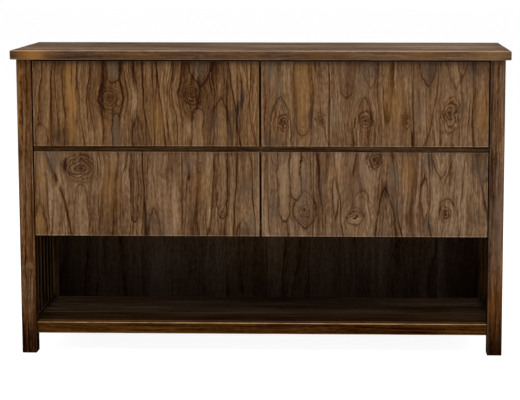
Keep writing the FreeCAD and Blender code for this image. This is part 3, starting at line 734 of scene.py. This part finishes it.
FACE_TEAKS["upper_right_drawer"] = teak(
    "teak_upper_right", painted_light_and_wear=UPPER_FACE_LIGHT_AND_WEAR, lines=22, leaf=(-0.3910, 0.2531, 0.014), seed=1.1, red=0.3,
    grey=0.7, amber=0.8, strength=0.5, shade=(1.04, 1.09, 1.16), waver=0.020, edge_highlight_and_wear=0.2,
    knots=(
        (-277, -56, 23, 30, 2.4, 1.3), (-160, -49, 12, 24, 2, 1.5), (-29, -46, 26, 34, 2.6, 1.3),
        (90, -44, 12, 24, 2, 1.5), (228, -30, 27, 52, 3, 1.1)),
    outlines=(
        ("peak", -283, 25, 34, -42, 0.8, RUST, 0.1), ("peak", -33, 19, 34, -42, 0.8, RUST, 0.1),
        ("tongue", -217, -96, 26, 34, 0.7, AMBER, 0.25), ("tongue", 38, -50, 16, 60, 0.9, AMBER, 0.15),
        ("tongue", -85, 20, 28, 50, 0.5, RUST, 0.15), ("peak", 159, 54, 32, 40, 0.9, SLATE, 0.6),
        ("peak", -13, 46, 30, 50, 0.5, TAUPE, 0.3), ("peak", 242, 46, 36, 45, 0.6, PALE, 0.2)),
    veins=(
        (0.5, -312, -312, -308, 1.2), (0.9, -139.5, -136.5, -135.5, 1.5), (0.5, -125, -110, -100, 1.4),
        (0.5, -55, -62, -70, 1.2), (0.8, -182, -188, -196, 4, -80, 60), (0.5, 10, 12, 12, 1.2),
        (1, 108, 114, 116, 1.7), (1.2, 110, 106, 112, 3.4, -140, -80), (0.9, 133, 136, 140, 1.3, -30, 30),
        (1.2, 40, 40, 40, 3.4, -50, 10), (0.9, 189, 184, 150, 1.6), (0.7, 56, 52, 44, 2, -20, 140),
        (0.6, 290, 293, 300, 1.4), (0.5, 256, 258, 262, 1.2), (0.7, -237, -237, -232, 1.6),
        (0.8, -177, -166, -140, 1.3)),
    clouds=(
        (168, 100, 18, 40, SLATE, 0.9), (296, 108, 20, 22, SOOT, 0.9), (-215, 10, 20, 110, AMBER, 0.35),
        (320, -30, 16, 70, AMBER, 0.5), (-10, 100, 30, 30, SLATE, 0.6), (-320, 100, 20, 30, TAUPE, 0.9),
        (-190, -50, 10, 40, SLATE, 0.7), (262, -20, 12, 30, SLATE, 0.8), (-240, -65, 8, 30, SLATE, 0.8),
        (-310, -115, 30, 20, SLATE, 0.7), (-85, 70, 30, 40, SLATE, 0.45), (-160, -50, 7, 16, DARK, 0.9),
        (90, -44, 7, 16, DARK, 0.9), (60, -10, 30, 60, AMBER, 0.5)))
FACE_TEAKS["lower_left_drawer"] = teak(
    "teak_lower_left", painted_light_and_wear=LOWER_FACE_LIGHT_AND_WEAR, lines=22, leaf=(-0.4005, 0.2531, 0.004), seed=2.6, red=0.58,
    grey=0.85, amber=1, strength=0.75, shade=(1.16, 1.25, 1.39), waver=0.020, edge_highlight_and_wear=0.2,
    knots=(
        (-198, 80, 42, 38, 3.6, 1.1), (-44.5, -53, 8, 9, 1.6, 1), (228, -46, 9, 10, 1.6, 0.9),
        (231, -64, 12, 12, 1.6, 0.8)),
    outlines=(
        ("peak", -327, -25, 24, -40, 1, AMBER, 0.3), ("tongue", -200, 28, 20, -20, 0.5, PALE, 0.1),
        ("loop", -200, 77, 52, 42, 0.7, PALE, 0), ("peak", 20, -39, 26, -50, 1, TAUPE, 0.3),
        ("tongue", -39, -88, 12, 12, 0.7, TAUPE, 0.3), ("tongue", 230, -74, 15, 12, 0.7, PALE, 0.1),
        ("loop", 162, 82, 12, 16, 0.5, RUST, 0.3), ("peak", 290, -75, 22, -30, 0.7, SLATE, 0.6)),
    veins=(
        (1.4, -301, -256, -229, 3.2), (1.2, -301, -262, -240, 6, 0, 120), (1.4, -236, -240, -244, 5, 66, 110),
        (0.7, -275, -274, -240, 1.5, -140, 50), (0.7, -302, -303, -300, 1.4, -140, 20),
        (1, -147, -148, -148, 2.2, 20, 140), (0.6, -180, -178, -175, 1.2, -140, -10),
        (0.8, -56, -75, -80, 1.5), (1, -58, -66, -74, 2.6, 70, 140), (0.6, -36, -40, -44, 1.2),
        (0.9, -12, -10, -8, 2.2), (1.3, -10, -8, -6, 4, -140, -10), (0.6, 22, 28, 48, 1.3),
        (0.6, 99, 97, 91, 1.2), (0.9, 128, 119, 114, 1.8), (1.3, 128, 124, 120, 4, 40, 100),
        (0.6, 152, 150, 156, 1.2), (0.7, 208, 187, 184, 1.4), (0.6, 246, 250, 236, 1.3),
        (1, 274, 268, 266, 2.2), (1, 310, 322, 328, 1.9), (0.8, 258, 262, 268, 1.4, -140, 0)),
    clouds=(
        (-325, -90, 14, 40, AMBER, 0.6), (-115, 30, 26, 90, AMBER, 0.45), (-320, 50, 12, 80, AMBER, 0.6),
        (54, 62, 10, 14, DARK, 0.8), (292, 20, 14, 30, SLATE, 0.9), (86, -30, 8, 80, LIGHT_TAN, 0.5),
        (10, -82, 14, 30, SLATE, 1), (-280, 100, 18, 30, SLATE, 0.8), (-270, 20, 6, 50, LIGHT_TAN, 0.7),
        (-239.5, 87, 9, 24, UMBER, 1.1), (-225, 62, 14, 7, UMBER, 0.8),
        (295, -115, 20, 16, DARK, 0.9), (-150, 58, 5, 18, DARK, 0.8),
        (170, 30, 24, 60, AMBER, 0.3)))
FACE_TEAKS["lower_right_drawer"] = teak(
    "teak_lower_right", painted_light_and_wear=LOWER_FACE_LIGHT_AND_WEAR, lines=22, leaf=(-0.4530, 0.2679, 0.010), seed=3.7, red=0.60,
    grey=0.85, amber=0.95, strength=0.75, shade=(1.10, 1.19, 1.37), waver=0.024, edge_highlight_and_wear=0.2,
    knots=(
        (-56.5, -71, 26, 24, 2.4, 1.7), (214, -57.5, 20, 19, 2, 1.7), (-210, -46, 24, 30, 2.6, 1.3),
        (0, 106, 24, 28, 2.6, 1.3)),
    outlines=(
        ("tongue", -274, -83, 19, 24, 1, PALE, 0.45), ("tongue", -238, -16, 18, 18, 1.1, PALE, 0.4),
        ("lens", -210, -46, 36, 58, 1.1, RUST, 0.1), ("lens", -118, -9, 10, 64, 1, LIGHT_TAN, 0.35),
        ("lens", 151, -14, 11, 72, 1, LIGHT_TAN, 0.4), ("peak", 33, 24, 38, -80, 1.1, TAUPE, 0.4),
        ("tongue", -56, -38, 34, -30, 0.6, PALE, 0.15), ("tongue", -40, 12, 40, -60, 0.5, LIGHT_TAN, 0.1),
        ("tongue", 222, -12, 34, -40, 0.6, PALE, 0.1), ("peak", 200, 50, 40, 60, 0.6, PALE, 0.1),
        ("tongue", -290, 88, 30, 20, 0.5, TAUPE, 0.2), ("peak", 0, 72, 22, 30, 0.7, TAUPE, 0.3),
        ("tongue", 330, 40, 24, 30, 0.6, SLATE, 0.3)),
    veins=(
        (0.8, -330, -322, -316, 1.5), (0.8, -304, -290, -284, 1.5, -60, 60),
        (1.2, -172, -161, -154, 3.4, -40, 140), (0.8, -195, -188, -186, 1.5), (1, -122, -106, -95, 2.2),
        (0.7, -142, -146, -150, 1.2), (1.1, -54, -72, -90, 3.2, 50, 140), (0.6, 18, 12, 2, 1.3),
        (1.1, 52, 64, 84, 2.6), (0.8, 58, 70, 66, 1.8, -30, 140), (0.6, 97, 100, 102, 1.2),
        (1, 166, 165, 173, 2.4), (0.8, 142, 145, 150, 1.5, 20, 140), (0.9, 236, 197, 180, 1.8, 20, 140),
        (0.7, 270, 262, 258, 1.3), (1, 310, 330, 346, 2), (0.6, 298, 296, 290, 1.2)),
    clouds=(
        (36, 10, 10, 20, UMBER, 1), (-300, -40, 10, 50, SLATE, 0.9), (-215, -78, 24, 22, SLATE, 0.8),
        (-162, 30, 6, 50, SLATE, 1), (168, 105, 18, 36, SOOT, 0.8), (168, -92, 16, 28, SOOT, 0.7),
        (301, 92, 14, 34, SLATE, 1), (90, -66, 7, 10, DARK, 0.9), (-56, 96, 8, 24, DARK, 0.8),
        (-56.5, -76, 13, 10, LIGHT_TAN, 0.8), (214, -57.5, 6.5, 6.5, HEART, 1.1),
        (310, -69, 14, 26, SLATE, 0.9), (64, -50, 10, 50, SLATE, 0.7), (-120, 80, 18, 40, AMBER, 0.5),
        (100, 60, 16, 60, AMBER, 0.5), (-130, 100, 8, 30, SLATE, 0.6)))
# The top's grey-blue shade is a painted sheen. The first gain takes its front edge back to darker, warmer
# wood, and the second makes it darker towards both ends. Its bright arrises are a painted highlight with
# wear. The two pale clouds on its surface make it lighter in the middle and towards the right.
TOP_TEAK = teak(
    "teak_top", lines=16, wander=3, strength=0.9, streaks=1.5, grey=0.6, red=0.4, amber=0.7,
    roughness=0.42, seed=5, shade=(0.80, 0.94, 1.28), specular=0.10, edge_highlight_and_wear=0.9, highlight_and_wear_colour=paint(124, 102, 84),
    waver=0.012,
    painted_light_and_wear=((1, -0.2225, -0.2248, (0.67, 0.57, 0.42)), (0, 0.715, 0.748, (0.82, 0.86, 0.95))),
    clouds=(
        (-225, -680, 20, 50, paint(158, 114, 62), 0.8), (-225, -580, 10, 50, DARK, 0.3),
        (-225, -360, 10, 120, AMBER, 0.5), (-225, -60, 10, 90, AMBER, 0.35), (-225, 180, 10, 100, AMBER, 0.5),
        (-225, 480, 20, 120, AMBER, 0.5), (-225, 690, 20, 60, paint(158, 126, 86), 0.38),
        (0, 0, 200, 140, paint(140, 118, 96), 0.12), (-40, 550, 110, 160, paint(140, 118, 96), 0.25)))
POST = {"lines": 55, "wander": 3.5, "strength": 1.6, "streaks": 1.6, "specular": 0, "edge_highlight_and_wear": 0.15,
        "waver": 0.010}
# Painted shade on the front posts' inner faces, beside the drawers and the open shelf.
INNER_FACE_SHADE = (0, 0.6908, 0.6895, (0.35, 0.33, 0.30))
# The left post is lighter low down, as painted light, and near black at the foot, as painted shade.
LEFT_POST_TEAK = teak(
    "teak_post_left", **POST, red=0.8, grey=0.6, amber=0.9, seed=8, shade=(0.82, 0.74, 0.68),
    painted_light_and_wear=(INNER_FACE_SHADE, (2, 0.52, 0.24, (1.15, 1.17, 1.13)), (2, 0.13, 0.04, (0.27, 0.24, 0.22))),
    knots=((2, -183, 16, 24, 1.9, 0.8), (-20, 171, 8, 12, 1.4, 1.1)),
    veins=(
        (0.9, -2, 2, 7, 1.6, 120, 450), (0.8, 18, 17, 16, 1.4, 0, 450), (0.8, -10, -8, -6, 1.2, -400, 100),
        (0.7, 10, 6, 8, 1.2, -380, -50)),
    clouds=(
        (2, -183, 14, 9, LIGHT_TAN, 0.25), (17, -120, 6, 160, DARK, 0.5), (-16, 270, 6, 50, AMBER, 0.9),
        (-16, 360, 7, 110, paint(106, 76, 46), 1), (8, 400, 8, 90, DARK, 0.8),
        (17, 310, 6, 90, DARK, 0.8), (-4, 160, 30, 24, DARK, 0.6),
        (8, 50, 14, 140, DARK, 0.15), (0, -260, 20, 60, TAUPE, 0.4)))
# The right post is darker on its inner third, and darker low down and near black at the foot, the last two as
# painted shade.
RIGHT_POST_TEAK = teak(
    "teak_post_right", **POST, red=0.5, grey=0.9, amber=0.6, seed=9, shade=(0.80, 0.78, 0.82),
    painted_light_and_wear=(
        INNER_FACE_SHADE, (0, 0.7065, 0.697, (0.62, 0.64, 0.76)), (2, 0.31, 0.16, (0.72, 0.56, 0.40)),
        (2, 0.16, 0, (0.24, 0.22, 0.24))),
    knots=((2, -186, 16, 28, 1.8, 0.4), (-4, 150, 14, 32, 1.6, 0.5)),
    veins=(
        (0.7, 14, 16, 17, 1.4, 160, 450), (0.8, -4, -3, 0, 1.4, -100, 240), (0.7, 10, 8, 6, 1.2, -450, 50)),
    clouds=(
        (18, 200, 5, 100, AMBER, 0.8), (16, 380, 8, 60, TAUPE, 0.8),
        (10, -30, 16, 150, paint(92, 74, 62), 1), (2, 100, 8, 120, SLATE, 0.6), (2, -140, 8, 80, SLATE, 0.5),
        (16, -220, 6, 100, AMBER, 0.6), (-12, -300, 12, 80, AMBER, 0.5)))
# A dark teak, as painted shade, for the parts seen in the shade of the open shelf: the back posts, the back
# rails and the inner sides.
BACK_TEAK = teak(
    "teak_back", lines=60, wander=3, red=0.5, grey=0.1, shade=(0.36, 0.33, 0.29), specular=0, edge_highlight_and_wear=0.2)
# A dark teak for the slats and side rails, as painted shade, with their inner faces darker still as painted
# shade and their arrises lighter as a painted highlight.
SLAT_TEAK = teak(
    "teak_slats", lines=60, wander=3, red=0.5, grey=0.1, shade=(0.42, 0.39, 0.35), specular=0, edge_highlight_and_wear=0.8,
    highlight_and_wear_colour=paint(92, 70, 48),
    painted_light_and_wear=((0, 0.712, 0.707, (0.19, 0.21, 0.28)),))
# A lighter teak for the front rails, as painted light where they sit in shade between the drawers; their
# ends, inside the posts, are darkened again.
RAIL_TEAK = teak(
    "teak_frame", lines=60, wander=3, strength=0.9, red=0.6, grey=0.2, shade=(1.04, 0.98, 0.86),
    specular=0.02, edge_highlight_and_wear=0.5, highlight_and_wear_colour=paint(112, 86, 62),
    painted_light_and_wear=((0, 0.686, 0.692, (0.25, 0.24, 0.23)),))
# Its bright arrises are a painted highlight with wear.
SHELF_RAIL_TEAK = teak(
    "teak_shelf_rail", lines=60, wander=3, strength=1.1, streaks=1.5, red=0.5, grey=0.2, amber=1,
    specular=0, shade=(0.41, 0.29, 0.11), edge_highlight_and_wear=1, highlight_and_wear_colour=paint(150, 122, 90), waver=0.006)
# A dark teak for the back planks, as painted shade. Painted light makes their inner face lighter and greyer
# and their middle lighter; painted shade darkens them low down and towards both ends.
PLANK_TEAK = teak(
    "teak_planks", lines=18, wander=4, strength=0.6, streaks=0.6, red=0.5, grey=0.2, amber=0.4, edge_highlight_and_wear=0.2,
    specular=0, waver=0.012, shade=(0.36, 0.32, 0.27),
    painted_light_and_wear=(
        (1, 0.193, 0.188, (1.32, 1.78, 2.8)), (2, 0.34, 0.10, (0.48, 0.46, 0.48)),
        (0, 0.50, 0.67, (0.46, 0.44, 0.42)), (0, 0.18, 0.06, (1.15, 1.12, 1.02))))
# The shelf boards are lighter and greyer at the back, as painted light, and darker and warmer in front, as
# painted shade.
SHELF_TEAK = teak(
    "teak_shelf", lines=24, wander=3, strength=1.1, streaks=1.3, red=0.3, grey=0.2, edge_highlight_and_wear=0.3,
    specular=0.02, waver=0.010, shade=(0.52, 0.65, 0.88),
    painted_light_and_wear=((1, 0.12, -0.17, (0.26, 0.17, 0.062)),))
BOX_WOOD = simple_wood("drawer_box_wood", paint(176, 148, 112), paint(140, 110, 78), 9, 1.2)
PLYWOOD = simple_wood("plywood", paint(190, 165, 128), paint(160, 132, 96), 6, 1)
PARTITION_WOOD = simple_wood("teak_partition", paint(52, 33, 18), paint(28, 16, 8), 5, 20, 0.7, 0.02)
# The slides' zinc is dark, as painted shade in the gaps beside the drawers.
SLIDE_ZINC = zinc("zinc_slides", 90, paint(46, 46, 48), paint(70, 70, 72))
FITTING_ZINC = zinc("zinc_hardware", 160, paint(150, 150, 152), paint(196, 197, 196))


# ---- pieces

def cad_board(node, *rest, **named):
    """A board the size of the CAD node of that name; the rest is as for boards."""
    boards(node, [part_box(node)], *rest, **named)


# How far the edges of each kind of board are eased, in metres.
EASING = {
    "top": 0.0038, "post": 0.0022, "side": 0.0016, "inner": 0.0008, "front_rail": 0.0012,
    "shelf_rail": 0.0026, "back_rail": 0.0015, "slat": 0.0016, "plank": 0.0016, "shelf": 0.0009,
    "face": 0.0014,
}

cad_board("top_board", EASING["top"], "yzx", TOP_TEAK, "teak_top", seed=11, centred=True)
for side, finish, seed in (("left", LEFT_POST_TEAK, 26), ("right", RIGHT_POST_TEAK, 23)):
    cad_board("post_front_" + side, EASING["post"], "xyz", finish, "teak_posts", seed=seed, centred=True)
for number, side in enumerate(SIDES):
    cad_board("post_back_" + side, EASING["post"], "xyz", BACK_TEAK, "teak_posts", seed=24 + number)
for number, side in enumerate(SIDES):
    for level, seed in (("top", 31), ("bottom", 41)):
        name = "side_rail_" + level + "_" + side
        cad_board(name, EASING["side"], "zxy", SLAT_TEAK, "teak_frame", seed=seed + number)
    cad_board("inner_side_" + side, EASING["inner"], "zxy", BACK_TEAK, "teak_planks", seed=51 + number)
for number, level in enumerate(("top", "middle", "bottom")):
    name = "front_rail_" + level
    cad_board(name, EASING["front_rail"], "zyx", RAIL_TEAK, "teak_frame", seed=61 + number)
cad_board("shelf_front_rail", EASING["shelf_rail"], "zyx", SHELF_RAIL_TEAK, "teak_frame", seed=71)
for number, level in enumerate(("top", "bottom")):
    cad_board("back_rail_" + level, EASING["back_rail"], "zyx", BACK_TEAK, "teak_frame", seed=81 + number)


def in_a_row(node, axis, count, first=None, width=None, pitch=None):
    """Boxes of equal boards in a row along an axis. They share the node's CAD box if no sizes are given."""
    low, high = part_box(node)
    if first is None:
        first = low[axis]
        width = (high[axis] - low[axis]) / count
        pitch = width
    boxes = []
    for number in range(count):
        corners = np.array((low, high), float)
        corners[0, axis] = first + number * pitch
        corners[1, axis] = corners[0, axis] + width
        boxes.append(corners)
    return boxes


# Six slats a side: even gaps between the posts.
SLATS = {"count": 6, "first": -0.138, "width": 0.027, "pitch": 0.053}
for number, side in enumerate(SIDES):
    name = "side_slats_" + side
    slats = in_a_row(name, 1, **SLATS)
    boards(name, slats, EASING["slat"], "yxz", SLAT_TEAK, "teak_frame", seed=91 + 10 * number)

# Ten planks in the back and three boards in the shelf, side by side.
planks = in_a_row("back_planks", 0, 10)
boards("back_planks", planks, EASING["plank"], "xyz", PLANK_TEAK, "teak_planks", seed=121)
shelf = in_a_row("shelf_boards", 1, 3)
boards("shelf_boards", shelf, EASING["shelf"], "yzx", SHELF_TEAK, "teak_shelf", seed=141)

# Drawer faces: veneered fronts, whose figure is placed on each face.
FACE_GRIP_BEVEL = 0.008
for drawer, finish in FACE_TEAKS.items():
    cad_board(drawer + "_face", EASING["face"], "xyz", finish, "teak_faces", drawer, seed=151,
              bevel=FACE_GRIP_BEVEL, centred=True)

# CAD nodes that keep their own shape and take a finish.
CAD_FINISHES = {
    "shelf_battens": PARTITION_WOOD, "centre_partition": PARTITION_WOOD, "drawer_deck": PLYWOOD,
    "top_brackets": FITTING_ZINC, "back_rail_screws": FITTING_ZINC, "slide_case_members": SLIDE_ZINC,
}
for drawer in FACE_TEAKS:
    for part in ("_box_front", "_box_back", "_box_side_inner", "_box_side_outer"):
        CAD_FINISHES[drawer + part] = BOX_WOOD
    CAD_FINISHES[drawer + "_box_bottom"] = PLYWOOD
    for part in ("_slide_middle", "_slide_inner"):
        CAD_FINISHES[drawer + part] = SLIDE_ZINC
for node, finish in CAD_FINISHES.items():
    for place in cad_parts[node].material_slots:
        place.material = finish

# ---- studio

floor = bpy.data.meshes.new("floor")
corners = [(x * FLOOR_HALF, y * FLOOR_HALF, 0.0) for x, y in ((-1, -1), (1, -1), (1, 1), (-1, 1))]
floor.from_pydata(corners, [], [(0, 1, 2, 3)])
floor = bpy.data.objects.new("floor", floor)
bpy.context.scene.collection.objects.link(floor)
paper = Finish("floor_paper", 0.9, 0.1)
paper.shader.inputs["Emission Color"].default_value = WHITE
here = paper.node("TexCoord").outputs["Object"]
distance = paper.vector("LENGTH", here)
glow = paper.step(distance, FLOOR_NEAR, FLOOR_FAR, FLOOR_GLOW_NEAR, FLOOR_GLOW_FAR)
paper.feed(paper.shader.inputs["Emission Strength"], glow)
speckle = paper.noise(paper.vector("*", here, (FLOOR_SPECKLE,) * 3), 2.0)
floor.data.materials.append(paper.finished(paper.profile(paper.maths("+", speckle, 0.5), FLOOR_GREYS)))


def soft_light(name, place, aim, size, power, gloss):
    """A rectangular light at place that faces aim. Without gloss it doesn't show in shiny surfaces."""
    lamp = bpy.data.lights.new(name, "AREA")
    lamp.shape = "RECTANGLE"
    lamp.size, lamp.size_y = size
    lamp.energy = power
    made = bpy.data.objects.new(name, lamp)
    x, y, z = (there - here for there, here in zip(aim, place))
    made.location = place
    made.rotation_euler = (math.pi / 2 + math.atan2(z, math.hypot(x, y)), 0.0, math.atan2(-x, y))
    made.visible_glossy = gloss
    bpy.context.scene.collection.objects.link(made)


def in_front(aim, distance, elevation, turn):
    """The place at a distance from aim, in front of it, raised and turned aside by angles in degrees."""
    up = math.radians(elevation)
    aside = math.radians(turn)
    return (aim[0] + distance * math.cos(up) * math.sin(aside),
            aim[1] - distance * math.cos(up) * math.cos(aside),
            aim[2] + distance * math.sin(up))


KEY_AIM = (0.0, -0.2, 0.62)
FILL_AIM = (0.0, -0.2, 0.5)
# Name, place, aim, size in metres, power in watts, and whether it shows in shiny surfaces.
LIGHTS = [
    ("key_light", in_front(KEY_AIM, 3.4, 60, -4), KEY_AIM, (3.6, 2), 220, True),
    ("fill_light", in_front(FILL_AIM, 4, 22, 6), FILL_AIM, (3.4, 1.6), 55, True),
    ("overhead_light", (0, 0.3, 3.2), (0, 0.301, 0), (3.4, 2.6), 50, False),
    ("back_light", (0.6, 3.2, 2.6), (0, 0.2, 0.4), (3.4, 1.8), 120, False),
    ("left_light", (-3, 0.5, 1.5), (-0.7, 0, 0.5), (1.6, 1.4), 75, False),
    ("right_light", (3, 0.5, 1.5), (0.7, 0, 0.5), (1.6, 1.4), 75, False),
]
for light in LIGHTS:
    soft_light(*light)

world = bpy.data.worlds.new("studio")
bpy.context.scene.world = world
world.use_nodes = True
nodes = world.node_tree.nodes
background = nodes["Background"]
path = nodes.new("ShaderNodeLightPath")
level = nodes.new("ShaderNodeMapRange")
level.inputs["To Min"].default_value = ROOM_LIGHT
level.inputs["To Max"].default_value = BACKDROP_LIGHT
world.node_tree.links.new(path.outputs["Is Camera Ray"], level.inputs["Value"])
world.node_tree.links.new(level.outputs[0], background.inputs["Strength"])
background.inputs["Color"].default_value = WHITE

camera = bpy.data.objects.new("camera", bpy.data.cameras.new("camera"))
camera.data.sensor_width = CAMERA_SENSOR
camera.data.lens = CAMERA_LENS
camera.data.shift_x, camera.data.shift_y = CAMERA_SHIFT
camera.data.clip_end = CAMERA_REACH
camera.location = CAMERA_PLACE
camera.rotation_euler = (math.pi / 2 - math.radians(CAMERA_TILT), 0.0, math.radians(CAMERA_TURN))
bpy.context.scene.collection.objects.link(camera)
bpy.context.scene.camera = camera
bpy.context.scene.view_settings.view_transform = "Standard"
